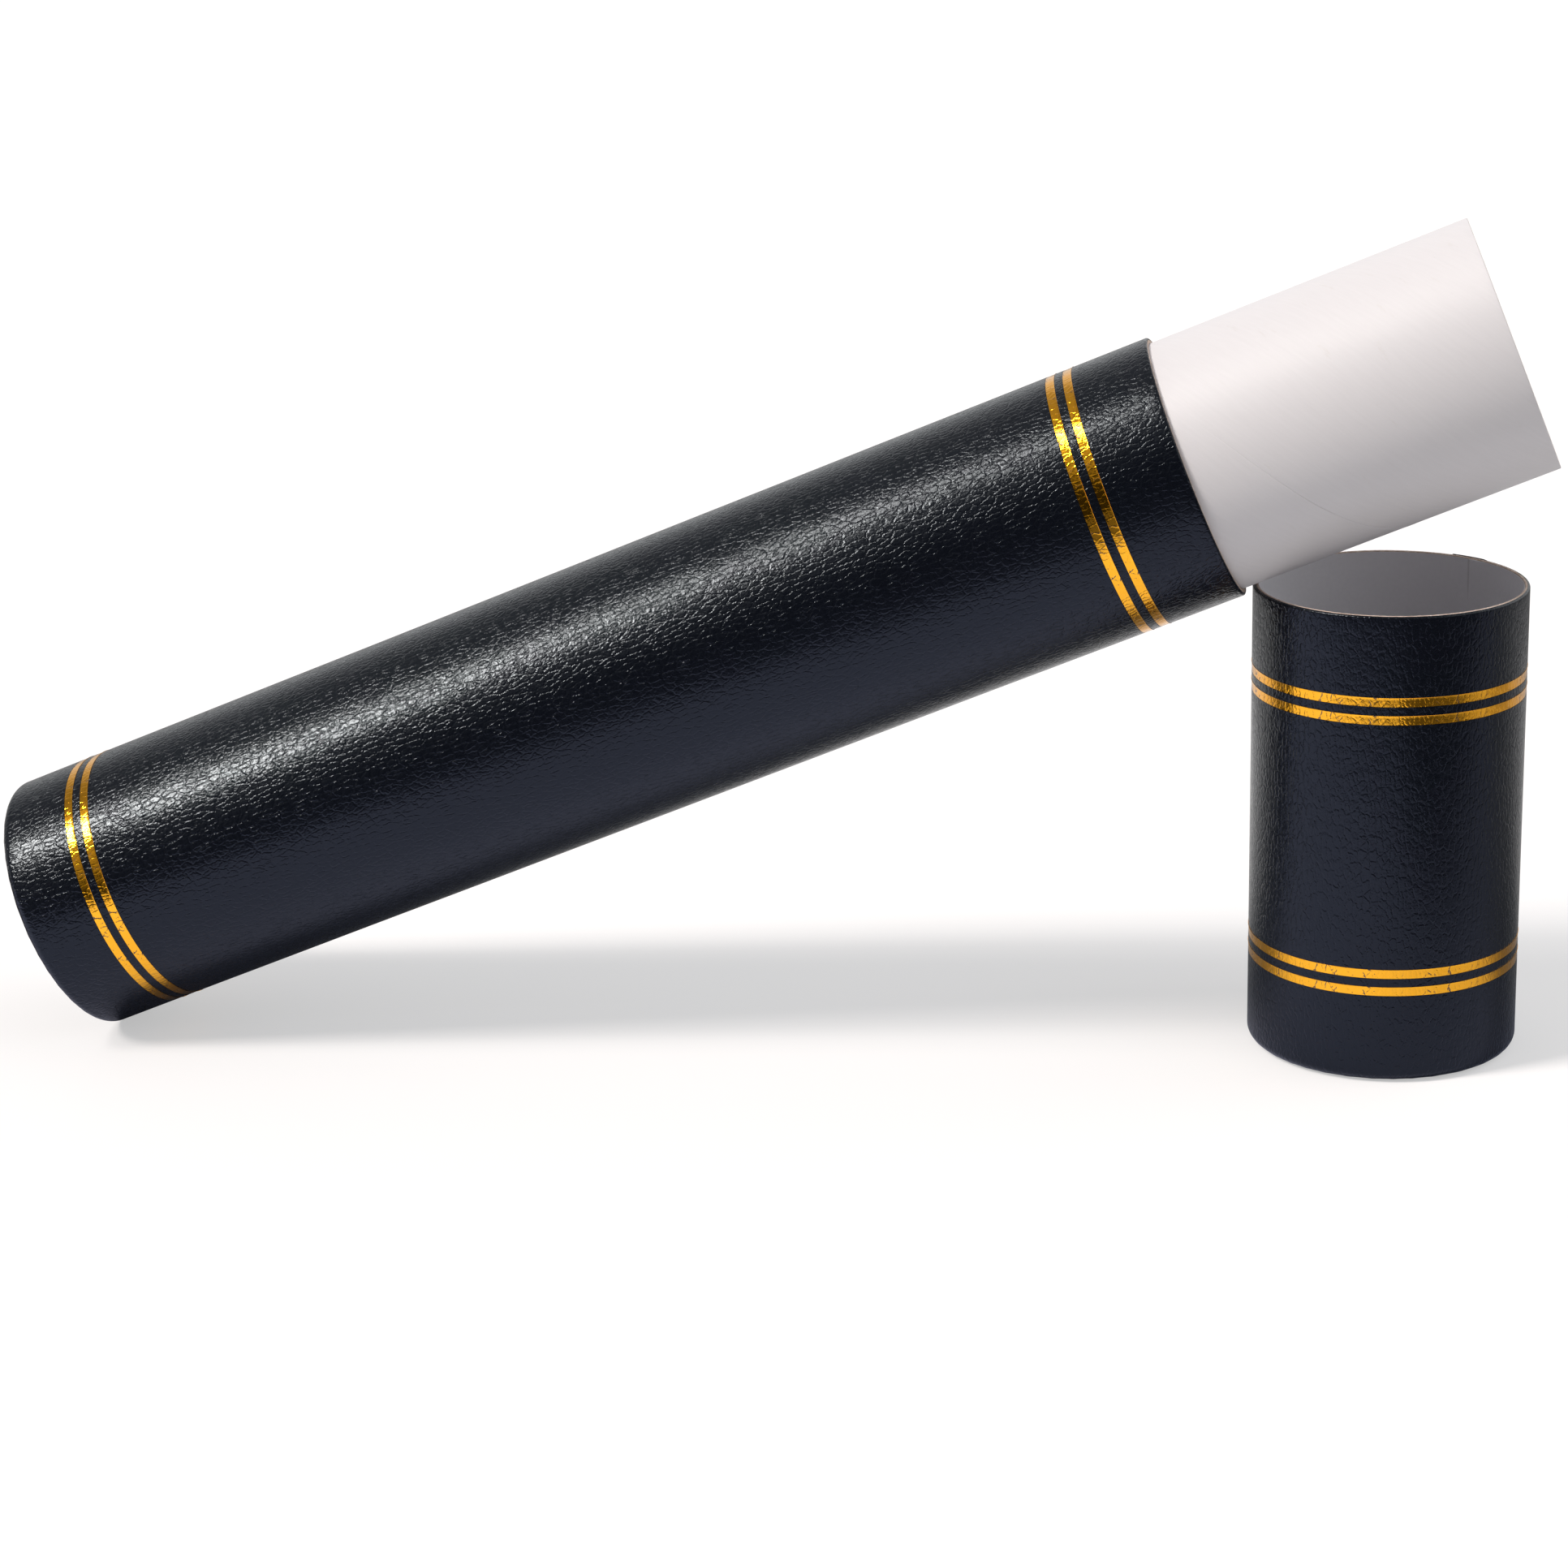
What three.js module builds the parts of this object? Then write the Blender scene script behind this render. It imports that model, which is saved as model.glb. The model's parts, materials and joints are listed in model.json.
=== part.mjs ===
// A leatherette-covered diploma tube with its cap taken off.
// The tube leans: the rounded edge of its closed end is on the table, and its white neck rests on
// the rim of the cap, which stands upright on its own closed end.
// Millimetres, +Z up. The origin is under the middle of the whole arrangement, on the table.
// Both covered tubes are turned profiles: points are (radius, height above the closed end's face).
import * as THREE from "three";

// Covered tubes, shared by the body and the cap
const OUTER_DIAMETER = 51;
const COVER_THICKNESS = 0.25; // leatherette paper
const GLUE_LINE = 0.05; // between any two glued layers
const END_DISC_THICKNESS = 2.4;
const END_EDGE_RADIUS = 2; // outer rounding where the cover is drawn over the closed end
const HEM_WIDTH = 6; // cover turned in on the closed end's face, under the end cover
const END_COVER_INSET = 0.8; // from the start of the edge rounding to the end cover's edge
const RIM_ROLL = 0.6; // outer rounding of the cover where it is turned over the rim
const RIM_EDGE_DROP = 0.05; // raw board edge below the cover's crest

// Body, neck and cap
const BODY_LENGTH = 240.5;
const BODY_BOARD_WALL = 0.85;
const NECK_REACH = 61.5; // neck beyond the body's rim
const NECK_WALL = 1.2;
const NECK_EDGE_ROUND = 0.2;
const CAP_LENGTH = 90;
const LINING_THICKNESS = 0.1;
const LINING_DROP = 0.2; // lining's edge below the cap's rim
const SLIDE_CLEARANCE = 0.1; // cap on neck, each side

// Stamped gold stripes, in pairs
const STRIPE_WIDTH = 1.75;
const STRIPE_SPACE = 1.65; // between the two stripes of a pair
const BODY_END_STRIPE_INSET = 14.7; // closed end's face to the pair
const BODY_RIM_STRIPE_INSET = 14.8; // body's rim to the pair
const CAP_END_STRIPE_INSET = 17.4;
const CAP_RIM_STRIPE_INSET = 15.1;
const STRIPE_PRESS_DEPTH = 0.1; // the stamp presses the cover down by this much
const FOIL_THICKNESS = 0.05;
const FOIL_CLEARANCE = 0.03; // round the foil in its pressed channel

// How it lies
const LEAN = THREE.MathUtils.degToRad(21.75); // tube axis above the table
const SEAT_GAP = 0.3; // neck above the cap's rim

// Facets
const SIDES = 48;
const END_ARC_STEPS = 5;
const RIM_ARC_STEPS = 3;

// Layer radii that follow from the sizes above
const OUTER = OUTER_DIAMETER / 2;
const BOARD_OUTER = OUTER - COVER_THICKNESS - GLUE_LINE;
const BODY_BOARD_INNER = BOARD_OUTER - BODY_BOARD_WALL;
const NECK_OUTER = BODY_BOARD_INNER - GLUE_LINE;
const NECK_INNER = NECK_OUTER - NECK_WALL;
const CAP_BORE = NECK_OUTER + SLIDE_CLEARANCE;
const LINING_OUTER = CAP_BORE + LINING_THICKNESS;
const CAP_BOARD_INNER = LINING_OUTER + GLUE_LINE;

// Heights of the layers at a closed end, from its outer face inwards
const HEM_FACE = COVER_THICKNESS + GLUE_LINE;
const DISC_FACE = HEM_FACE + COVER_THICKNESS + GLUE_LINE;
const DISC_TOP = DISC_FACE + END_DISC_THICKNESS;
const TUBE_START = DISC_TOP + GLUE_LINE;

// The two roundings' centres: every layer is round about the same ones
const END_ARC_RADIUS = OUTER - END_EDGE_RADIUS;
const END_ARC_HEIGHT = HEM_FACE + END_EDGE_RADIUS;
const RIM_ARC_RADIUS = OUTER - RIM_ROLL;

const leatherette = new THREE.MeshStandardMaterial({ color: 0x161b26, roughness: 0.42 });
const goldFoil = new THREE.MeshStandardMaterial({ color: 0xdc9a1c, roughness: 0.25, metalness: 1 });
const whitePaper = new THREE.MeshStandardMaterial({ color: 0xe8e5e4, roughness: 0.6 });
const liningPaper = new THREE.MeshStandardMaterial({ color: 0xcfcaca, roughness: 0.8 });
const board = new THREE.MeshStandardMaterial({ color: 0xcdbbae, roughness: 0.9 });

// Points of a quarter arc about (radius, height), from one angle to another, in degrees:
// 0 points outwards, 90 up towards the rim and -90 down towards the closed end.
function arc(radius, height, size, from, to, steps) {
  return Array.from({ length: steps + 1 }, (_, i) => {
    const angle = THREE.MathUtils.degToRad(from + ((to - from) * i) / steps);
    return [radius + size * Math.cos(angle), height + size * Math.sin(angle)];
  });
}

// A closed or axis-to-axis profile turned about +Z.
function turned(name, profile, material) {
  const points = profile.map(([radius, height]) => new THREE.Vector2(radius, height));
  const geometry = new THREE.LatheGeometry(points, SIDES);
  geometry.rotateX(Math.PI / 2);
  const mesh = new THREE.Mesh(geometry, material);
  mesh.name = name;
  return mesh;
}

// A ring of rectangular section.
function ring(name, inner, outer, low, high, material) {
  const section = [
    [inner, low],
    [outer, low],
    [outer, high],
    [inner, high],
    [inner, low],
  ];
  return turned(name, section, material);
}

// Lowest and highest height of each stripe of a tube, from the closed end to the rim.
function stripeSpans(length, endInset, rimInset) {
  const step = STRIPE_WIDTH + STRIPE_SPACE;
  const lows = [
    endInset,
    endInset + step,
    length - rimInset - step - STRIPE_WIDTH,
    length - rimInset - STRIPE_WIDTH,
  ];
  return lows.map((low) => [low, low + STRIPE_WIDTH]);
}

// The cover: turned in on the closed end, up the wall with a pressed channel for each stripe,
// and rolled over the rim.
function cover(name, length, spans) {
  const rimArcHeight = length - RIM_ROLL;
  const floor = OUTER - STRIPE_PRESS_DEPTH;
  const channels = spans.flatMap(([low, high]) => [
    [OUTER, low - FOIL_CLEARANCE],
    [floor, low - FOIL_CLEARANCE],
    [floor, high + FOIL_CLEARANCE],
    [OUTER, high + FOIL_CLEARANCE],
  ]);
  const hemInner = END_ARC_RADIUS - HEM_WIDTH;
  const innerEndArc = END_EDGE_RADIUS - COVER_THICKNESS;
  const innerRimArc = RIM_ROLL - COVER_THICKNESS;
  const profile = [
    [hemInner, HEM_FACE],
    ...arc(END_ARC_RADIUS, END_ARC_HEIGHT, END_EDGE_RADIUS, -90, 0, END_ARC_STEPS),
    ...channels,
    ...arc(RIM_ARC_RADIUS, rimArcHeight, RIM_ROLL, 0, 90, RIM_ARC_STEPS),
    ...arc(RIM_ARC_RADIUS, rimArcHeight, innerRimArc, 90, 0, RIM_ARC_STEPS),
    ...arc(END_ARC_RADIUS, END_ARC_HEIGHT, innerEndArc, 0, -90, END_ARC_STEPS),
    [hemInner, HEM_FACE + COVER_THICKNESS],
    [hemInner, HEM_FACE],
  ];
  return turned(name, profile, leatherette);
}

// The wound board tube: its outer corner at the rim is rounded down to take the rolled cover,
// and the raw edge inside that stays in sight.
function boardTube(name, length, inner) {
  const rimArcHeight = length - RIM_ROLL;
  const corner = RIM_ROLL - COVER_THICKNESS - GLUE_LINE;
  const edgeOuter = RIM_ARC_RADIUS - GLUE_LINE;
  const profile = [
    [inner, TUBE_START],
    [BOARD_OUTER, TUBE_START],
    ...arc(RIM_ARC_RADIUS, rimArcHeight, corner, 0, 90, RIM_ARC_STEPS),
    [edgeOuter, rimArcHeight + corner],
    [edgeOuter, length - RIM_EDGE_DROP],
    [inner, length - RIM_EDGE_DROP],
    [inner, TUBE_START],
  ];
  return turned(name, profile, board);
}

// The board disc across the closed end, with the rounded edge that the cover follows.
function endDisc(name) {
  const corner = END_EDGE_RADIUS - COVER_THICKNESS - GLUE_LINE;
  const profile = [
    [0, DISC_FACE],
    ...arc(END_ARC_RADIUS, END_ARC_HEIGHT, corner, -90, 0, END_ARC_STEPS),
    [BOARD_OUTER, DISC_TOP],
    [0, DISC_TOP],
  ];
  return turned(name, profile, board);
}

// The round of leatherette glued over the turned-in hem.
function endCover(name) {
  const radius = END_ARC_RADIUS - END_COVER_INSET;
  const profile = [
    [0, 0],
    [radius, 0],
    [radius, COVER_THICKNESS],
    [0, COVER_THICKNESS],
  ];
  return turned(name, profile, leatherette);
}

// The inner tube: it stands on the end disc, fills the body and reaches out of it as the neck.
function neckTube(name) {
  const end = BODY_LENGTH + NECK_REACH;
  const round = NECK_EDGE_ROUND;
  const profile = [
    [NECK_INNER, TUBE_START],
    [NECK_OUTER, TUBE_START],
    ...arc(NECK_OUTER - round, end - round, round, 0, 90, 1),
    ...arc(NECK_INNER + round, end - round, round, 90, 180, 1),
    [NECK_INNER, TUBE_START],
  ];
  return turned(name, profile, whitePaper);
}

// The stamped foil, one ring to a stripe, lying in its pressed channel.
function foilStripes(prefix, spans) {
  const inner = OUTER - STRIPE_PRESS_DEPTH + FOIL_CLEARANCE;
  const outer = inner + FOIL_THICKNESS;
  return spans.map(([low, high], i) =>
    ring(`${prefix}_gold_stripe_${i + 1}`, inner, outer, low, high, goldFoil),
  );
}

function makeBody() {
  const spans = stripeSpans(BODY_LENGTH, BODY_END_STRIPE_INSET, BODY_RIM_STRIPE_INSET);
  return new THREE.Group().add(
    boardTube("body_board_tube", BODY_LENGTH, BODY_BOARD_INNER),
    endDisc("body_end_disc"),
    cover("body_leatherette_cover", BODY_LENGTH, spans),
    endCover("body_end_cover"),
    neckTube("neck_tube"),
    ...foilStripes("body", spans),
  );
}

function makeCap() {
  const spans = stripeSpans(CAP_LENGTH, CAP_END_STRIPE_INSET, CAP_RIM_STRIPE_INSET);
  const liningTop = CAP_LENGTH - LINING_DROP;
  return new THREE.Group().add(
    boardTube("cap_board_tube", CAP_LENGTH, CAP_BOARD_INNER),
    endDisc("cap_end_disc"),
    cover("cap_leatherette_cover", CAP_LENGTH, spans),
    endCover("cap_end_cover"),
    ring("cap_lining", CAP_BORE, LINING_OUTER, TUBE_START, liningTop, liningPaper),
    ...foilStripes("cap", spans),
  );
}

// The middle of the body's closed end when the rounded edge is on the table and the neck's
// underside is just above the left of the cap's rim. The cap stands at the group's zero.
function leaningEnd() {
  const sin = Math.sin(LEAN);
  const cos = Math.cos(LEAN);
  const height = END_EDGE_RADIUS + END_ARC_RADIUS * cos - END_ARC_HEIGHT * sin;
  const reach = NECK_OUTER + SEAT_GAP + RIM_ROLL;
  const rimArcHeight = CAP_LENGTH - RIM_ROLL;
  const across = -RIM_ARC_RADIUS - (reach + (rimArcHeight - height) * cos) / sin;
  return new THREE.Vector3(across, 0, height);
}

const body = makeBody();
body.position.copy(leaningEnd());
body.rotation.y = Math.PI / 2 - LEAN;

const arrangement = new THREE.Group().add(body, makeCap());
arrangement.updateMatrixWorld(true);
const extent = new THREE.Box3().setFromObject(arrangement, true);
const middle = extent.getCenter(new THREE.Vector3());
arrangement.position.set(-middle.x, -middle.y, -extent.min.z);

export default new THREE.Group().add(arrangement);
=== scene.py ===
"""Looks for the diploma tube: leatherette-covered body and cap, stamped gold stripes, white neck."""

import json
import math

import bpy
import bmesh
import numpy as np
from mathutils import Matrix, Vector


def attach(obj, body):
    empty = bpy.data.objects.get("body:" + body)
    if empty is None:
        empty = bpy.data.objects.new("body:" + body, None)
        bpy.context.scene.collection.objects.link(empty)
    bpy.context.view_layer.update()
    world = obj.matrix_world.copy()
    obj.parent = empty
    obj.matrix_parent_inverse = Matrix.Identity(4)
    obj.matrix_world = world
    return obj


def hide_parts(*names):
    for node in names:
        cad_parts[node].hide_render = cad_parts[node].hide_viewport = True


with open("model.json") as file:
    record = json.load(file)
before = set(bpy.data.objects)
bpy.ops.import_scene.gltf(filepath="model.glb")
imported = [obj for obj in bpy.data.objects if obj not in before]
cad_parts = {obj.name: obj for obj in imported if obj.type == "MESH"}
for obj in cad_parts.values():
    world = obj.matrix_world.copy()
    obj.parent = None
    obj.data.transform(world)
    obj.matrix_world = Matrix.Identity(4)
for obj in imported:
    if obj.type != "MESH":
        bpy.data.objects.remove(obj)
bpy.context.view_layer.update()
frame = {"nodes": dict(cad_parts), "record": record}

MM = 0.001
FULL_TURN = 2 * math.pi

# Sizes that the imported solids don't give by themselves, in metres
END_EDGE = 2 * MM  # rounding of the cover at the closed end
END_ROUND_EDGE = 0.08 * MM  # softened cut edge of the round on the closed end
RIM_ROLL = 0.45 * MM  # rounding of the cover over the rim
CROWN = 0.1 * MM  # the raw board stands a little above the cover at the rim
RAGGED = 0.05 * MM  # the raw board's fibres at the rim
GLUE = 0.05 * MM  # between the cover and the board
LAP_WIDTH = 7 * MM  # the cover overlaps itself along the back
LAP_RAMP = 1.6 * MM  # how fast it climbs over the layer below
LAP_EDGE = 0.06 * MM  # width of the step at its cut edge
LAP_RISE = 0.16 * MM
SETTLING = 0.02 * MM  # gentle unevenness of the wound board under the cover
HEM_FLAT = 1.2 * MM  # the folds of the hem begin this far inside the rounding
PLEATS = 34  # small folds of the cover where it is drawn in at the closed end
PLEAT_RISE = 0.05 * MM
CHANNEL_ROOM = 0.03 * MM  # between a stripe and the channel pressed for it
CHANNEL_SLOPE = 0.02 * MM  # width of the channel's steep sides
CHANNEL_LIP = 0.12 * MM  # stretch beside the channel that stays on the wall
FOIL_EDGE = 0.02 * MM
FOIL_CURL = 0.09 * MM  # the stripe's edge on the rim's side climbs the wall of its channel
WALL_ROWS = 2.5 * MM  # spacing of the points along the cover's wall
COVER_SIDES = 480
ROUND_SIDES = 180
PAPER_SIDES = 240

# The raw rim from its outer edge inwards: how far across, share of the crown, share of the raggedness
RAW_RIM = ((0, 0, 0.3), (0.2, 0.8, 1), (0.5, 1, 0.6), (0.8, 0.8, 1), (1, 0, 0.6))

# The neck's outer ply has a butt joint, which winds about the neck
SEAM_ANGLE = math.radians(165)  # where the joint is at SEAM_HEIGHT
SEAM_HEIGHT = 249 * MM
SEAM_TURN = math.radians(3.7) / MM
SEAM_FADES_IN = (245 * MM, 255 * MM)
SEAM_HALF = 0.2 * MM
SEAM_DEPTH = 0.06 * MM
SEAM_STEP = 0.03 * MM  # the ply on one side stands higher
SEAM_STEP_WIDTH = 2.5 * MM
SEAM_COLUMNS = (-2, -1, -0.6, -0.3, 0, 0.02, 0.3, 0.6, 1, 2, 6, 9, 12.5)  # of points, in SEAM_HALF
NECK_EDGE = 0.2 * MM
NECK_IN_BODY = 2 * MM  # the finer rows of points start this far below the body's rim
NECK_HIDDEN_ROWS = 39
NECK_SEEN_ROWS = 84

# The lining laps over itself beside the cover's own lap
LINING_LAP_ANGLE = math.radians(350.5)
LINING_LAP_RISE = 0.2 * MM
LINING_LAP_WIDTH = 6 * MM
LINING_LAP_EDGE = 0.05 * MM
LINING_ROWS = 40

# The photograph's camera, from where the cap's axis meets the table
CAMERA_FROM_CAP = Vector((-32.58, -672.86, 261.56)) * MM
CAMERA_YAW = math.radians(-6.962)
CAMERA_PITCH = math.radians(-17.372)
CAMERA_ROLL = math.radians(-1.531)
FOCAL_IN_PIXELS = 4534.5
PICTURE_PIXELS = 1932
SENSOR_MM = 36

# Studio light. The key is one long soft light, as two suns: azimuth and elevation from the front, strength
KEYS = ((-66, 42, 2.4), (-67, 57, 0.95))
KEY_WIDTH = 13
KEY_TINT = (1.0, 0.945, 0.88)

# The white room by direction. Side runs from -1 on the left to 1 on the right, height from 0 at the horizon
# to 1 overhead, and depth from -1 in front to 1 behind. Each span has the brightness at its two ends
ROOM_TINT = (0.97, 0.99, 1.0, 1)
BACK_HEIGHT, BACK_BRIGHTNESS = (0.35, 0.75), (0.85, 0.4)
BACK_SIDE, BACK_SIDE_SHARE = (-0.75, -0.35), (0.52, 1.0)
LEFT_HEIGHT, LEFT_BRIGHTNESS = (0.0, 0.75), (0.12, 0.47)
FRONT_HEIGHT, FRONT_BRIGHTNESS = (0.35, 0.85), (0.025, 0.4)
LEFT_TO_FRONT = (math.radians(-36), math.radians(-24))  # azimuth
FRONT_TO_BACK = (-0.15, 0.2)  # depth
FILL_SIDE = (0.4, 0.75)
FILL_HEIGHT, FILL_BRIGHTNESS = (0.1, 0.45), (0.0, 1.3)

# Painted reflection: glossy rays see the floor darker and bluer than the lens does. It is painted dim in
# front and to the right, with a painted shadow under and behind the tube.
# Spans are in metres of x, which runs to the right, or of y, which runs to the back
FLOOR_HALF = 6.0
FLOOR_IN_FRONT, FLOOR_IN_FRONT_BRIGHTNESS = (0.14, 0.38), (1.0, 0.12)  # distance in front of the tube
FLOOR_SOONER_X, FLOOR_SOONER = (0.12, 0.22), (0.0, 0.16)  # the same, this much nearer on the right
FLOOR_RIGHT_X, FLOOR_RIGHT_BRIGHTNESS = (0.06, 0.22), (1.0, 0.58)
FLOOR_BEHIND_X, FLOOR_BEHIND_BRIGHTNESS = (-0.14, 0.03), (0.1, 0.5)
FLOOR_FAR_Y, FLOOR_FAR_BRIGHTNESS = (0.18, 0.3), (0.75, 0.34)
FLOOR_FRONT_TO_BEHIND_Y = (-0.035, 0.005)
FLOOR_BEHIND_TO_FAR_Y = (0.055, 0.14)
FLOOR_TINT_Y = (-0.02, 0.04)
FLOOR_MIRRORED = (0.91, 0.96, 1.3, 1)
FLOOR_MIRRORED_BEHIND = (0.98, 0.99, 1.02, 1)
FLOOR_BOUNCE = (0.63, 0.63, 0.63, 1)
FLOOR_TO_LENS = (0.478, 0.466, 0.474, 1)
FLOOR_LIFT = 0.465  # lightens the shadows that the lens sees

BLACK = (0, 0, 0, 1)
WHITE = (1, 1, 1, 1)
MIDDLE = (0.3, 0.7)  # where most values of a noise lie


class Tube:
    """One of the two covered tubes: where its closed end is, its axis, and the way its back faces."""

    def __init__(self, prefix, mount, back):
        self.prefix = prefix
        self.origin = Vector(mount["pos_m"])
        self.axis = -Vector(mount["axis"]).normalized()
        self.back = (back - back.dot(self.axis) * self.axis).normalized()
        self.side = self.axis.cross(self.back)
        cover = self.measure(f"{prefix}_leatherette_cover")
        self.radius = cover["outer"]
        self.length = cover["high"]
        self.hem_face = cover["low"]
        self.hem_inner = cover["inner"]
        self.thickness = self.measure(f"{prefix}_end_cover")["high"]

    def heights_and_radii(self, points):
        """How far along the axis points of the row frame are, and how far from it."""
        away = np.array(points) - np.array(self.origin)
        height = away @ np.array(self.axis)
        return height, np.linalg.norm(away - np.outer(height, np.array(self.axis)), axis=1)

    def measure(self, node):
        """Height span and radius span of a CAD node in this tube's own terms."""
        height, radius = self.heights_and_radii([v.co for v in frame["nodes"][node].data.vertices])
        return {"low": height.min(), "high": height.max(), "inner": radius.min(), "outer": radius.max()}

    def place(self, radius, angle, height):
        """Points of the row frame. Angle 0 is the back, where the cover overlaps itself."""
        out = np.cos(angle)[..., None] * np.array(self.back) + np.sin(angle)[..., None] * np.array(self.side)
        return np.array(self.origin) + radius[..., None] * out + height[..., None] * np.array(self.axis)


MOUNTS = {mount["name"]: mount for mount in frame["record"]["mounts"]}
BODY = Tube("body", MOUNTS["body_closed_end"], Vector((0, 1, 0)))
CAP = Tube("cap", MOUNTS["cap_closed_end"], Vector((0.5, 0.866, 0)))
NECK = BODY.measure("neck_tube")


# Node graphs
def connect(tree, node, inputs):
    """Sets inputs, named or counted, to values or links them to sockets."""
    for key, value in inputs.items():
        if isinstance(value, bpy.types.NodeSocket):
            tree.links.new(value, node.inputs[key])
        else:
            node.inputs[key].default_value = value


def add(tree, kind, inputs=(), **settings):
    made = tree.nodes.new(kind)
    for name, value in settings.items():
        setattr(made, name, value)
    connect(tree, made, dict(inputs))
    return made


def maths(tree, operation, *values):
    return add(tree, "ShaderNodeMath", enumerate(values), operation=operation).outputs[0]


def vector_maths(tree, operation, *values):
    return add(tree, "ShaderNodeVectorMath", enumerate(values), operation=operation).outputs[0]


def product(tree, first, *others):
    for other in others:
        first = maths(tree, "MULTIPLY", first, other)
    return first


def ramp(tree, value, span, ends=(0.0, 1.0)):
    """Smooth change between two end values while the value runs through its span."""
    inputs = {"Value": value, "From Min": span[0], "From Max": span[1], "To Min": ends[0], "To Max": ends[1]}
    return add(tree, "ShaderNodeMapRange", inputs, interpolation_type="SMOOTHSTEP").outputs["Result"]


def blend(tree, amount, first, second):
    """Colour mix of two colours or sockets. For colours the node takes inputs 6 and 7 and gives output 2."""
    return add(tree, "ShaderNodeMix", {0: amount, 6: first, 7: second}, data_type="RGBA").outputs[2]


def scaled(tree, where, scale):
    return add(tree, "ShaderNodeMapping", {"Vector": where, "Scale": scale}).outputs[0]


def separate(tree, vector):
    return add(tree, "ShaderNodeSeparateXYZ", {"Vector": vector}).outputs


def noise(tree, where, scale, detail=2.0, roughness=0.5):
    inputs = {"Vector": where, "Scale": scale, "Detail": detail, "Roughness": roughness}
    return add(tree, "ShaderNodeTexNoise", inputs).outputs


def grey_noise(tree, where, scale, detail=2.0, roughness=0.5):
    return noise(tree, where, scale, detail, roughness)["Fac"]


def colour(red, green, blue):
    """sRGB in 0 to 255 as the linear colour that shaders take."""
    def linear(value):
        value /= 255
        return value / 12.92 if value <= 0.04045 else ((value + 0.055) / 1.055) ** 2.4

    return (linear(red), linear(green), linear(blue), 1.0)


def material(name):
    made = bpy.data.materials.new(name)
    made.use_nodes = True
    tree = made.node_tree
    return made, tree, tree.nodes["Principled BSDF"]


def unrolled(tree):
    """The surface laid flat, in metres: around the tube, then along it."""
    return add(tree, "ShaderNodeUVMap", uv_map="unrolled").outputs["UV"]


def bump(tree, height):
    """The normal of a surface with this height, in metres."""
    return add(tree, "ShaderNodeBump", {"Height": height, "Strength": 1.0, "Distance": 1.0}).outputs["Normal"]


# The embossed grain: creases about cells that are longer along the tube, and finer pebbles. Cells are in
# metres around and along the tube, their grooves are a share of the cell, and noise scales are per metre
CREASE_CELLS, CREASE_GROOVE, CREASE_DEPTH = (1.12 * MM, 2.4 * MM), 0.2, 0.05 * MM
CREASE_PATCH_SCALE, CREASE_PATCHES, CREASE_SHARE = 500, (0.35, 0.6), (0.45, 1.0)  # shallower in patches
PEBBLE_CELLS, PEBBLE_GROOVE, PEBBLE_DEPTH = (0.58 * MM, 0.9 * MM), 0.5, 0.013 * MM
DRIFT_SCALE, DRIFT = 1100, (0.9 * MM, 1.4 * MM, 0)  # bends the sides of the cells


def cells(tree, where, size, groove):
    """Height of embossed cells, 1 on their crowns and 0 in the grooves between them."""
    around, along = size
    inputs = {"Vector": scaled(tree, where, (1 / around, 1 / along, 1)), "Scale": 1.0, "Randomness": 1.0}
    pattern = add(tree, "ShaderNodeTexVoronoi", inputs, voronoi_dimensions="2D", feature="DISTANCE_TO_EDGE")
    return ramp(tree, pattern.outputs["Distance"], (0.0, groove))


def leather_grain():
    """A node group, shared by the leatherette and the foil stamped on it. Its height is in metres."""
    tree = bpy.data.node_groups.new("leather_grain", "ShaderNodeTree")
    tree.interface.new_socket("Where", in_out="INPUT", socket_type="NodeSocketVector")
    for name in ("Height", "Crease"):
        tree.interface.new_socket(name, in_out="OUTPUT", socket_type="NodeSocketFloat")
    where = add(tree, "NodeGroupInput").outputs["Where"]

    centred = vector_maths(tree, "SUBTRACT", noise(tree, where, DRIFT_SCALE)["Color"], (0.5, 0.5, 0.5))
    wavy = vector_maths(tree, "ADD", where, vector_maths(tree, "MULTIPLY", centred, DRIFT))
    creases = cells(tree, wavy, CREASE_CELLS, CREASE_GROOVE)
    share = ramp(tree, grey_noise(tree, where, CREASE_PATCH_SCALE), CREASE_PATCHES, CREASE_SHARE)
    pebbles = cells(tree, wavy, PEBBLE_CELLS, PEBBLE_GROOVE)
    height = maths(
        tree, "ADD", product(tree, creases, share, CREASE_DEPTH), product(tree, pebbles, PEBBLE_DEPTH))
    add(tree, "NodeGroupOutput", {"Height": height, "Crease": creases})
    return tree


GRAIN = leather_grain()


def grain(tree):
    made = add(tree, "ShaderNodeGroup", node_tree=GRAIN)
    connect(tree, made, {"Where": unrolled(tree)})
    return made.outputs


LEATHER_TONES = ((0.0030, 0.0038, 0.0066, 1), (0.0040, 0.0050, 0.0086, 1))
LEATHER_CLOUD_SCALE = 70
LEATHER_GLOSS_SCALE = 900
LEATHER_ROUGHNESS = (0.17, 0.22)
LEATHER_IOR = 1.33
LEATHER_GLOSS_TINT = (0.84, 0.92, 1.0, 1)


def leatherette():
    made, tree, shader = material("navy_leatherette")
    where = unrolled(tree)
    clouds = grey_noise(tree, where, LEATHER_CLOUD_SCALE, detail=4.0)
    gloss = grey_noise(tree, where, LEATHER_GLOSS_SCALE, detail=3.0)
    connect(tree, shader, {
        "Base Color": blend(tree, clouds, *LEATHER_TONES),
        "Roughness": ramp(tree, gloss, MIDDLE, LEATHER_ROUGHNESS),
        "IOR": LEATHER_IOR,
        "Specular Tint": LEATHER_GLOSS_TINT,
        "Normal": bump(tree, grain(tree)["Height"]),
    })
    return made


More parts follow.
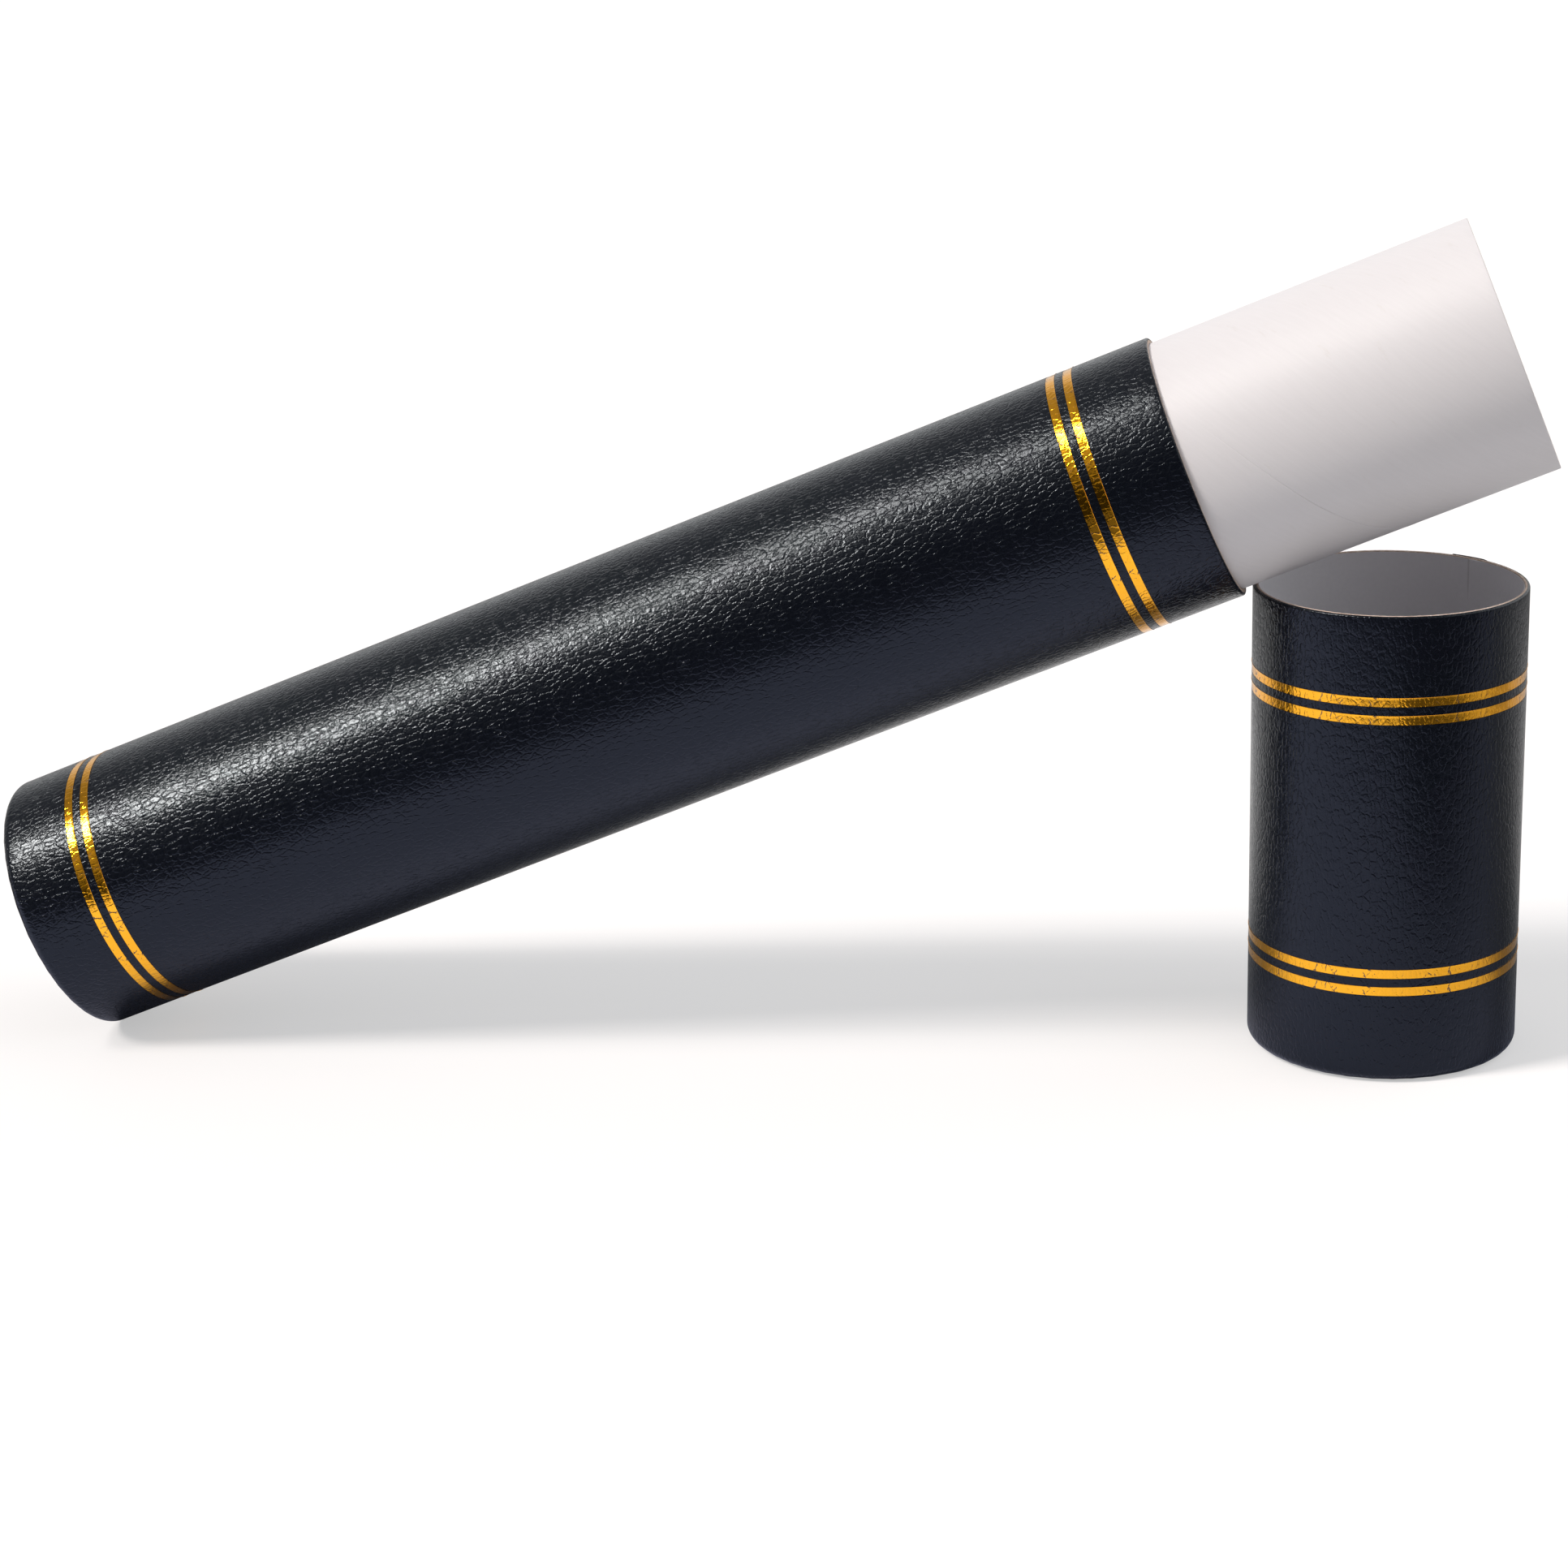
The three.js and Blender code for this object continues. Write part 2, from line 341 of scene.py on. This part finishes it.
FOIL_TONES = ((0.90, 0.39, 0.015, 1), (1.0, 0.46, 0.021, 1))
FOIL_BARE = (0.012, 0.009, 0.008, 1)  # the leatherette seen through cracks and pinholes
FOIL_PATCH_SCALE = 450
FOIL_WORN_PATCHES = (0.52, 0.62)
FOIL_CRACKS = (0.0, 0.5)  # how far up the sides of a crease the wear reaches
PINHOLE_SCALE = 2600
PINHOLES = (0.735, 0.76)
FOIL_ROUGHNESS = (0.08, 0.14)
FOIL_COAT, FOIL_COAT_ROUGHNESS = 0.12, 0.1
FOIL_GRAIN = 0.5  # the foil bridges part of the grain's depth


def gold_foil():
    made, tree, shader = material("stamped_gold_foil")
    where = unrolled(tree)
    embossed = grain(tree)
    patch = grey_noise(tree, where, FOIL_PATCH_SCALE, detail=3.0)
    cracks = ramp(tree, embossed["Crease"], FOIL_CRACKS, (1.0, 0.0))
    cracks = product(tree, cracks, ramp(tree, patch, FOIL_WORN_PATCHES))
    pinholes = ramp(tree, grey_noise(tree, where, PINHOLE_SCALE, detail=1.0), PINHOLES)
    bare = maths(tree, "MAXIMUM", cracks, pinholes)
    connect(tree, shader, {
        "Base Color": blend(tree, bare, blend(tree, patch, *FOIL_TONES), FOIL_BARE),
        "Metallic": ramp(tree, bare, (0.0, 1.0), (1.0, 0.0)),
        "Roughness": ramp(tree, patch, MIDDLE, FOIL_ROUGHNESS),
        "Coat Weight": FOIL_COAT,
        "Coat Roughness": FOIL_COAT_ROUGHNESS,
        "Normal": bump(tree, product(tree, embossed["Height"], FOIL_GRAIN)),
    })
    return made


NECK_TONES = (colour(209, 206, 210), colour(216, 213, 217))
NECK_FIBRES = (1.0, 0.3, 1.0)  # drawn out along the tube
NECK_MOTTLE_SCALE = 900
NECK_SCUFFED = colour(196, 190, 187)
NECK_SCUFF_SCALE = 160
NECK_SCUFFS = (0.62, 0.72)
NECK_SCUFF_SHARE = 0.25
NECK_ROUGHNESS = 0.5
NECK_BUMP = 0.012 * MM


def white_paper():
    made, tree, shader = material("white_wound_paper")
    where = unrolled(tree)
    mottle = grey_noise(tree, scaled(tree, where, NECK_FIBRES), NECK_MOTTLE_SCALE, detail=4.0)
    scuffs = ramp(tree, grey_noise(tree, where, NECK_SCUFF_SCALE, detail=5.0, roughness=0.65), NECK_SCUFFS)
    clean = blend(tree, mottle, *NECK_TONES)
    connect(tree, shader, {
        "Base Color": blend(tree, product(tree, scuffs, NECK_SCUFF_SHARE), clean, NECK_SCUFFED),
        "Roughness": NECK_ROUGHNESS,
        "Normal": bump(tree, product(tree, mottle, NECK_BUMP)),
    })
    return made


BOARD_TONES = (colour(176, 153, 138), colour(212, 193, 180))
BOARD_COARSE_SCALE, BOARD_FINE_SCALE = 700, 4200
BOARD_MIX = (0.12, 0.38)
BOARD_FLUFF = colour(232, 222, 214)
BOARD_FLUFF_SCALE = 1500
BOARD_FLUFFS = (0.56, 0.66)
BOARD_FLUFF_SHARE = 0.8
BOARD_ROUGHNESS = 0.9
BOARD_BUMP = 0.05 * MM


def paper_board():
    made, tree, shader = material("raw_paper_board")
    where = add(tree, "ShaderNodeTexCoord").outputs["Object"]
    coarse = grey_noise(tree, where, BOARD_COARSE_SCALE, detail=4.0)
    fine = grey_noise(tree, where, BOARD_FINE_SCALE, detail=3.0)
    fluff = ramp(tree, grey_noise(tree, where, BOARD_FLUFF_SCALE, detail=4.0, roughness=0.7), BOARD_FLUFFS)
    board = blend(tree, ramp(tree, product(tree, coarse, fine), BOARD_MIX), *BOARD_TONES)
    connect(tree, shader, {
        "Base Color": blend(tree, product(tree, fluff, BOARD_FLUFF_SHARE), board, BOARD_FLUFF),
        "Roughness": BOARD_ROUGHNESS,
        "Normal": bump(tree, product(tree, fine, BOARD_BUMP)),
    })
    return made


LINING_TONES = (colour(206, 204, 208), colour(224, 222, 226))
LINING_MOTTLE_SCALE, LINING_STAIN_SCALE = 1200, 60
LINING_LAP_SHADE = colour(120, 112, 112)  # painted shade: a thin dark line at the lap's edge, standing in for the shade in the fold there
LINING_LAP_SHADE_WIDTH, LINING_LAP_SHADE_SHARE = (0.1 * MM, 0.4 * MM), (0.3, 0.0)
LINING_LAP_SHADE_FADES = (4 * MM, 9 * MM)  # below the rim
LINING_ROUGHNESS = 0.75
LINING_BUMP = 0.02 * MM


def lining_paper():
    made, tree, shader = material("white_lining_paper")
    where = unrolled(tree)
    mottle = grey_noise(tree, where, LINING_MOTTLE_SCALE, detail=4.0)
    stain = grey_noise(tree, where, LINING_STAIN_SCALE, detail=4.0)
    around, down = separate(tree, where)[:2]
    off = maths(tree, "ABSOLUTE", maths(tree, "SUBTRACT", around, LINING_LAP_ANGLE * CAP.radius))
    # Painted shade along the lap's edge, strongest near the rim and gone further in
    joint = product(
        tree,
        ramp(tree, off, LINING_LAP_SHADE_WIDTH, LINING_LAP_SHADE_SHARE),
        ramp(tree, down, LINING_LAP_SHADE_FADES, (1.0, 0.0)),
    )
    paper = blend(tree, product(tree, mottle, stain), *LINING_TONES)
    connect(tree, shader, {
        "Base Color": blend(tree, joint, paper, LINING_LAP_SHADE),
        "Roughness": LINING_ROUGHNESS,
        "Normal": bump(tree, product(tree, mottle, LINING_BUMP)),
    })
    return made


LEATHER = leatherette()
FOIL = gold_foil()
NECK_PAPER = white_paper()
BOARD = paper_board()
LINING = lining_paper()


# Reliefs: how far a surface stands proud, by angle from the back and height above the closed end
def smoothstep(value, low, high):
    t = np.clip((value - low) / (high - low), 0, 1)
    return t * t * (3 - 2 * t)


def lap(angle, tube):
    """Rise of the cover where its last stretch lies on its first. It ends in a step at the full turn."""
    rest = FULL_TURN * tube.radius - angle * tube.radius
    return LAP_RISE * (1 - smoothstep(rest, LAP_WIDTH, LAP_WIDTH + LAP_RAMP))


def settling(angle, height, seed):
    """Slow unevenness: waves with their turns around, their radians per metre along and their phase."""
    waves = ((3, 47, 0.7), (5, 83, 1.9), (8, 61, 4.1), (13, 149, 2.6))
    total = np.zeros(np.broadcast(angle, height).shape)
    for turns, lengthwise, phase in waves:
        total += np.sin(turns * angle + phase * seed) * np.cos(lengthwise * height + phase + seed)
    return SETTLING * total / len(waves)


def pleats(angle, height, tube, seed):
    """Irregular small folds, from nothing at the wall to their full height on the turned-in hem."""
    wander = 0.5 * np.sin(3 * angle + seed) + 0.35 * np.sin(7 * angle + 2 * seed)
    fold = 0.5 + 0.5 * np.sin(PLEATS * angle + 3 * wander)
    drawn_in = 1 - smoothstep(height, tube.hem_face, tube.hem_face + 0.6 * END_EDGE)
    return PLEAT_RISE * fold ** 3 * drawn_in


def cover_relief(tube, seed):
    def relief(angle, height):
        return lap(angle, tube) + settling(angle, height, seed) + pleats(angle, height, tube, seed)

    return relief


def ragged(angle, height):
    """A raw edge: short uneven fibres."""
    return RAGGED * (np.sin(97 * angle + 1) + np.sin(151 * angle + 2.1) + np.sin(211 * angle + 4)) / 3


def neck_seam(angle, height):
    """The neck's butt joint: a fine groove, with the ply on one side a touch higher."""
    off = (angle - SEAM_ANGLE) * NECK["outer"]
    groove = -SEAM_DEPTH * (1 - smoothstep(np.abs(off), 0, SEAM_HALF))
    step = np.where(off > 0, SEAM_STEP * (1 - smoothstep(off, 0.5 * SEAM_STEP_WIDTH, SEAM_STEP_WIDTH)), 0)
    return (groove + step) * smoothstep(height, *SEAM_FADES_IN)


def lining_lap(angle, height):
    """The lining's lap ends in a sharp edge."""
    before = (LINING_LAP_ANGLE - angle) * CAP.radius
    rise = 1 - smoothstep(before, 0.3 * LINING_LAP_WIDTH, LINING_LAP_WIDTH)
    return np.where(before > 0, LINING_LAP_RISE * rise, 0)


# Turned shapes
def arc(radius, height, size, start, end, steps):
    """Part of a profile. 0 degrees points outwards, 90 to the rim and -90 to the closed end."""
    angles = np.radians(np.linspace(start, end, steps + 1))
    return [(radius + size * math.cos(a), height + size * math.sin(a)) for a in angles]


def even_angles(count):
    return np.linspace(0, FULL_TURN, count, endpoint=False)


def cover_angles(tube):
    """Angles from the back all round, ending just short of a turn for the lap's step."""
    climb = FULL_TURN - (LAP_WIDTH + LAP_RAMP * np.linspace(0, 1, 6)) / tube.radius
    step = [FULL_TURN - LAP_EDGE / tube.radius]
    return np.unique(np.concatenate([even_angles(COVER_SIDES), climb, step]))


def angles_with(middle, clear, extra):
    """Even angles, with extra ones in place of those that lie closer to the middle than is clear."""
    even = even_angles(PAPER_SIDES)
    return np.unique(np.concatenate([even[np.abs(even - middle) > clear], middle + extra]))


def outward(points):
    """Unit normals of a profile."""
    following = np.roll(points, -1, 0) - np.roll(points, 1, 0)
    lengths = np.maximum(np.linalg.norm(following, axis=1), 1e-12)
    return np.stack([following[:, 1], -following[:, 0]], 1) / lengths[:, None]


def laid_flat(points, angles, tube, columns, rows):
    """Where the corners of each face lie when the surface is unrolled."""
    along = np.concatenate([[0], np.cumsum(np.linalg.norm(np.diff(points, axis=0), axis=1))])
    along = np.append(along, along[-1] + np.linalg.norm(points[0] - points[-1]))
    around = np.append(angles, FULL_TURN) * tube.radius
    corners = ((0, 0), (1, 0), (1, 1), (0, 1))
    return np.stack([np.stack([around[columns + i], along[rows + j]], 1) for i, j in corners], 1)


def turned(name, tube, profile, paint, angles,
           relief=None, moving=None, closed=True, disc=False, twist=None):
    """A profile of (radius, height) points turned about a tube's axis. relief(angle, height) pushes the
    points where moving is 1 out along the profile's normal. disc lays the pattern as seen along the axis.
    twist(height) turns each height by its own angle, so that the columns of points wind about the tube."""
    points = np.array(profile)
    radius = np.repeat(points[None, :, 0], len(angles), 0)
    height = np.repeat(points[None, :, 1], len(angles), 0)
    if relief is not None:
        push = relief(angles[:, None], points[None, :, 1]) * np.asarray(moving, float)[None, :]
        normal = outward(points)
        radius = radius + push * normal[None, :, 0]
        height = height + push * normal[None, :, 1]
    around = np.repeat(angles[:, None], len(points), 1)
    if twist is not None:
        around = around + twist(points[:, 1])[None, :]
    vertices = tube.place(radius, around, height).reshape(-1, 3)

    spans = len(points) if closed else len(points) - 1
    i, j = np.meshgrid(np.arange(len(angles)), np.arange(spans), indexing="ij")
    i, j = i.ravel(), j.ravel()
    column, next_column = i * len(points), (i + 1) % len(angles) * len(points)
    next_j = (j + 1) % len(points)
    faces = np.stack([column + j, next_column + j, next_column + next_j, column + next_j], 1)
    mesh = bpy.data.meshes.new(name)
    mesh.from_pydata(vertices.tolist(), [], faces.tolist())

    if disc:
        pattern = np.stack([radius * np.cos(around), radius * np.sin(around)], 2).reshape(-1, 2)[faces]
    else:
        pattern = laid_flat(points, angles, tube, i, j)
    layer = mesh.uv_layers.new(name="unrolled")
    layer.uv.foreach_set("vector", pattern.reshape(-1, 2).astype(np.float32).ravel())
    return finished(name, mesh, paint)


def finished(name, mesh, paint):
    """Merges what meets on the axis, shades smooth and puts the piece in the scene."""
    same_point = 1e-7
    sharp_from = math.radians(38)
    work = bmesh.new()
    work.from_mesh(mesh)
    bmesh.ops.remove_doubles(work, verts=work.verts, dist=same_point)
    bmesh.ops.recalc_face_normals(work, faces=work.faces)
    work.to_mesh(mesh)
    work.free()
    for polygon in mesh.polygons:
        polygon.use_smooth = True
    mesh.set_sharp_from_angle(angle=sharp_from)
    mesh.materials.append(paint)
    piece = bpy.data.objects.new(name, mesh)
    bpy.context.scene.collection.objects.link(piece)
    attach(piece, "root")
    return piece


# Pieces
def stripes_of(tube):
    names = [f"{tube.prefix}_gold_stripe_{i}" for i in (1, 2, 3, 4)]
    return [(name, tube.measure(name)) for name in names]


def cover_wall(tube, low, high):
    """The outside of the cover between two heights, with a pressed channel for each stripe."""
    outer = tube.radius
    channel_floor = min(stripe["inner"] for _, stripe in stripes_of(tube)) - CHANNEL_ROOM
    wall = []
    for _, stripe in stripes_of(tube):
        start, stop = stripe["low"] - CHANNEL_ROOM, stripe["high"] + CHANNEL_ROOM
        steps = max(2, round((start - low) / WALL_ROWS))
        wall += [(outer, h) for h in np.linspace(low, start - CHANNEL_LIP, steps + 1)[1:]]
        wall += [(outer, start), (channel_floor, start + CHANNEL_SLOPE)]
        wall += [(channel_floor, stop - CHANNEL_SLOPE), (outer, stop), (outer, stop + CHANNEL_LIP)]
        low = stop + CHANNEL_LIP
    return wall + [(outer, h) for h in np.linspace(low, high, 8)[1:-1]]


def cover(tube, seed):
    """The leatherette: hem on the closed end, wall with pressed channels, rolled rim."""
    end_radius, end_height = tube.radius - END_EDGE, tube.hem_face + END_EDGE
    rim_radius, rim_height = tube.radius - RIM_ROLL, tube.length - RIM_ROLL

    outside = [(tube.hem_inner, tube.hem_face), (end_radius - HEM_FLAT, tube.hem_face)]
    outside += arc(end_radius, end_height, END_EDGE, -90, 0, 12)
    outside += cover_wall(tube, end_height, rim_height)
    outside += arc(rim_radius, rim_height, RIM_ROLL, 0, 90, 8)
    inside = arc(rim_radius, rim_height, RIM_ROLL - tube.thickness, 90, 0, 6)
    inside += arc(end_radius, end_height, END_EDGE - tube.thickness, 0, -90, 6)
    inside += [(tube.hem_inner, tube.hem_face + tube.thickness)]
    moving = [0] + [1] * (len(outside) - 2) + [0] * (1 + len(inside))
    made = turned(f"{tube.prefix}_cover", tube, outside + inside, LEATHER, cover_angles(tube),
                  cover_relief(tube, seed), moving)
    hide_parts(f"{tube.prefix}_leatherette_cover")


def end_cover(tube):
    """The round of leatherette on the closed end, its cut edge a little softened."""
    size = tube.measure(f"{tube.prefix}_end_cover")
    radius, edge = size["outer"], END_ROUND_EDGE
    profile = [(radius * share, 0) for share in np.linspace(0, 0.97, 12)]
    profile += arc(radius - edge, edge, edge, -90, 0, 3)
    profile += [(radius, size["high"]), (0, size["high"])]
    made = turned(f"{tube.prefix}_end_round", tube, profile, LEATHER, even_angles(ROUND_SIDES),
                  closed=False, disc=True)
    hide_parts(f"{tube.prefix}_end_cover")


def foil_rings(tube, seed):
    """The stamped stripes, each a thin ring that follows the cover's own relief."""
    for name, size in stripes_of(tube):
        inner, outer, low, high = size["inner"], size["outer"], size["low"], size["high"]
        curl_start = high - FOIL_CURL
        top = [(outer - FOIL_EDGE, low), (outer, low + FOIL_EDGE)]
        top += [(outer, h) for h in np.linspace(low + FOIL_EDGE, curl_start, 5)[1:]]
        top += [(outer + FOIL_CURL * (1 - math.cos(t)), curl_start + FOIL_CURL * math.sin(t))
                for t in np.radians((25, 50, 75, 90))]
        profile = top + [(inner, high), (inner, low)]
        made = turned(f"{name}_foil", tube, profile, FOIL, cover_angles(tube),
                      cover_relief(tube, seed), [1] * len(top) + [0, 0])
        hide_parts(name)


def board_tube(tube):
    """The wound board: only its raw edge at the rim shows."""
    size = tube.measure(f"{tube.prefix}_board_tube")
    inner, outer, low, high = size["inner"], size["outer"], size["low"], size["high"]
    rim_radius, rim_height = tube.radius - RIM_ROLL, tube.length - RIM_ROLL
    corner = RIM_ROLL - tube.thickness - GLUE
    edge = rim_radius - GLUE
    profile = [(inner, low), (outer, low)] + arc(rim_radius, rim_height, corner, 0, 90, 5)
    profile += [(edge, rim_height + corner)]
    moving = [0] * len(profile) + [fibres for _, _, fibres in RAW_RIM] + [0]
    profile += [(edge * (1 - t) + inner * t, high + CROWN * rise) for t, rise, _ in RAW_RIM]
    profile += [(inner, high - 1 * MM)]
    made = turned(f"{tube.prefix}_board", tube, profile, BOARD, cover_angles(tube), ragged, moving)
    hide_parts(f"{tube.prefix}_board_tube")


def neck():
    """The white tube. Its raw plies show at the mouth and inside."""
    inner, outer, low, high = NECK["inner"], NECK["outer"], NECK["low"], NECK["high"]
    edge = NECK_EDGE
    seen_from = BODY.length - NECK_IN_BODY
    heights = list(np.linspace(low, seen_from, NECK_HIDDEN_ROWS, endpoint=False))
    heights += list(np.linspace(seen_from, high - edge, NECK_SEEN_ROWS))
    mouth = arc(outer - edge, high - edge, edge, 15, 90, 4)
    mouth += [(outer * (1 - t) + inner * t, high) for t in (0.35, 0.5, 0.65)]
    mouth += arc(inner + edge, high - edge, edge, 90, 180, 4)
    inside = [(inner, h) for h in heights[-2::-1]]
    profile = [(outer, h) for h in heights] + mouth + inside
    moving = [0] * NECK_HIDDEN_ROWS + [1] * (NECK_SEEN_ROWS - 1) + [0.6] + [0] * len(mouth + inside)
    half = SEAM_HALF / outer
    angles = angles_with(SEAM_ANGLE, 2.2 * half, np.array(SEAM_COLUMNS) * half)

    def winding(height):
        return SEAM_TURN * (np.maximum(height, seen_from) - SEAM_HEIGHT)

    made = turned("neck", BODY, profile, NECK_PAPER, angles, neck_seam, moving, twist=winding)
    made.data.materials.append(BOARD)
    _, radii = BODY.heights_and_radii([polygon.center for polygon in made.data.polygons])
    for polygon, radius in zip(made.data.polygons, radii):
        polygon.material_index = int(radius < outer - 0.4 * edge)
    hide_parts("neck_tube")


def lining():
    size = CAP.measure("cap_lining")
    inner, outer, low, high = size["inner"], size["outer"], size["low"], size["high"]
    profile = [(inner, h) for h in np.linspace(high, low, LINING_ROWS)] + [(outer, low), (outer, high)]
    edge = LINING_LAP_EDGE / inner
    angles = angles_with(LINING_LAP_ANGLE, 4 * edge, np.array([-edge, edge]))
    made = turned("cap_paper_lining", CAP, profile, LINING, angles, lining_lap, [1] * LINING_ROWS + [0, 0])
    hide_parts("cap_lining")


def end_discs():
    """The board discs keep their CAD shape and get the board's own look."""
    for node in ("body_end_disc", "cap_end_disc"):
        disc = frame["nodes"][node]
        disc.data.materials.clear()
        disc.data.materials.append(BOARD)


# Studio
def floor_brightness(tree, x, y):
    """Painted reflection: how bright the floor looks in a mirror, by place. It is painted dim in front and to
    the right, with a painted shadow under and behind the tube.
    """
    sooner = ramp(tree, x, FLOOR_SOONER_X, FLOOR_SOONER)
    in_front = ramp(tree, maths(tree, "SUBTRACT", sooner, y), FLOOR_IN_FRONT, FLOOR_IN_FRONT_BRIGHTNESS)
    on_right = ramp(tree, x, FLOOR_RIGHT_X, FLOOR_RIGHT_BRIGHTNESS)
    # painted shadow of the tube, seen only in reflections of the floor
    behind = ramp(tree, x, FLOOR_BEHIND_X, FLOOR_BEHIND_BRIGHTNESS)
    far = ramp(tree, y, FLOOR_FAR_Y, FLOOR_FAR_BRIGHTNESS)
    behind = ramp(tree, y, FLOOR_BEHIND_TO_FAR_Y, (behind, far))
    behind = ramp(tree, y, FLOOR_FRONT_TO_BEHIND_Y, (1.0, behind))
    return product(tree, in_front, on_right, behind)


def floor():
    corners = [(-FLOOR_HALF, -FLOOR_HALF, 0), (FLOOR_HALF, -FLOOR_HALF, 0),
               (FLOOR_HALF, FLOOR_HALF, 0), (-FLOOR_HALF, FLOOR_HALF, 0)]
    mesh = bpy.data.meshes.new("floor")
    mesh.from_pydata(corners, [], [(0, 1, 2, 3)])
    made, tree, shader = material("pale_floor")
    x, y, _ = separate(tree, add(tree, "ShaderNodeTexCoord").outputs["Object"])
    rays = add(tree, "ShaderNodeLightPath").outputs
    seen = blend(tree, rays["Is Camera Ray"], FLOOR_BOUNCE, FLOOR_TO_LENS)
    # Painted reflection: the floor's colour for glossy rays, bluer in front of the tube
    tint = blend(tree, ramp(tree, y, FLOOR_TINT_Y), FLOOR_MIRRORED, FLOOR_MIRRORED_BEHIND)
    painted_reflection = blend(tree, floor_brightness(tree, x, y), BLACK, tint)
    connect(tree, shader, {
        "Base Color": blend(tree, rays["Is Glossy Ray"], seen, painted_reflection),
        "Emission Color": WHITE,
        # painted light: the floor glows for the lens, which lightens the shadows it sees
        "Emission Strength": product(tree, rays["Is Camera Ray"], FLOOR_LIFT),
        "Roughness": 0.8,
        "Specular IOR Level": 0.0,
    })
    mesh.materials.append(made)
    piece = bpy.data.objects.new("floor", mesh)
    bpy.context.scene.collection.objects.link(piece)


def toward(azimuth, elevation):
    """Unit vector. Azimuth 0 is the front, where the camera stands, and 90 the right; both in degrees."""
    turn, rise = math.radians(azimuth), math.radians(elevation)
    return Vector((math.sin(turn) * math.cos(rise), -math.cos(turn) * math.cos(rise), math.sin(rise)))


def key_light():
    for number, (azimuth, elevation, strength) in enumerate(KEYS, 1):
        lamp = bpy.data.lights.new(f"key_{number}", "SUN")
        lamp.energy = strength
        lamp.angle = math.radians(KEY_WIDTH)
        lamp.color = KEY_TINT
        piece = bpy.data.objects.new(f"key_{number}", lamp)
        piece.rotation_euler = toward(azimuth, elevation).to_track_quat("Z", "Y").to_euler()
        bpy.context.scene.collection.objects.link(piece)


def surroundings():
    """A white room, dim in front, where the camera stands, with a fill on the right. The lens sees white."""
    world = bpy.data.worlds.new("studio")
    bpy.context.scene.world = world
    world.use_nodes = True
    tree = world.node_tree
    side, depth, height = separate(tree, add(tree, "ShaderNodeTexCoord").outputs["Generated"])
    azimuth = maths(tree, "ARCTAN2", side, maths(tree, "MULTIPLY", depth, -1.0))
    back = product(
        tree,
        ramp(tree, height, BACK_HEIGHT, BACK_BRIGHTNESS),
        ramp(tree, side, BACK_SIDE, BACK_SIDE_SHARE),
    )
    left = ramp(tree, height, LEFT_HEIGHT, LEFT_BRIGHTNESS)
    middle = ramp(tree, height, FRONT_HEIGHT, FRONT_BRIGHTNESS)
    front = ramp(tree, azimuth, LEFT_TO_FRONT, (left, middle))
    room = ramp(tree, depth, FRONT_TO_BACK, (front, back))
    fill = product(tree, ramp(tree, side, FILL_SIDE), ramp(tree, height, FILL_HEIGHT, FILL_BRIGHTNESS))
    to_lens = add(tree, "ShaderNodeLightPath").outputs["Is Camera Ray"]
    strength = maths(tree, "MAXIMUM", maths(tree, "ADD", room, fill), to_lens)
    connect(tree, tree.nodes["Background"], {"Strength": strength, "Color": ROOM_TINT})


def camera():
    forward = Vector((
        math.sin(CAMERA_YAW) * math.cos(CAMERA_PITCH),
        math.cos(CAMERA_YAW) * math.cos(CAMERA_PITCH),
        math.sin(CAMERA_PITCH),
    ))
    level = Vector((math.cos(CAMERA_YAW), -math.sin(CAMERA_YAW), 0))
    upright = level.cross(forward)
    right = math.cos(CAMERA_ROLL) * level + math.sin(CAMERA_ROLL) * upright
    up = math.cos(CAMERA_ROLL) * upright - math.sin(CAMERA_ROLL) * level
    lens = bpy.data.cameras.new("camera")
    lens.sensor_width = SENSOR_MM
    lens.lens = SENSOR_MM * FOCAL_IN_PIXELS / PICTURE_PIXELS
    lens.clip_start = 0.01
    lens.clip_end = 50
    piece = bpy.data.objects.new("camera", lens)
    turn = Matrix((right, up, -forward)).transposed().to_4x4()
    piece.matrix_world = Matrix.Translation(CAP.origin + CAMERA_FROM_CAP) @ turn
    bpy.context.scene.collection.objects.link(piece)
    bpy.context.scene.camera = piece


for tube, seed in ((BODY, 1.0), (CAP, 2.3)):
    cover(tube, seed)
    end_cover(tube)
    foil_rings(tube, seed)
    board_tube(tube)
neck()
lining()
end_discs()

floor()
key_light()
surroundings()
camera()
bpy.context.scene.view_settings.view_transform = "Standard"
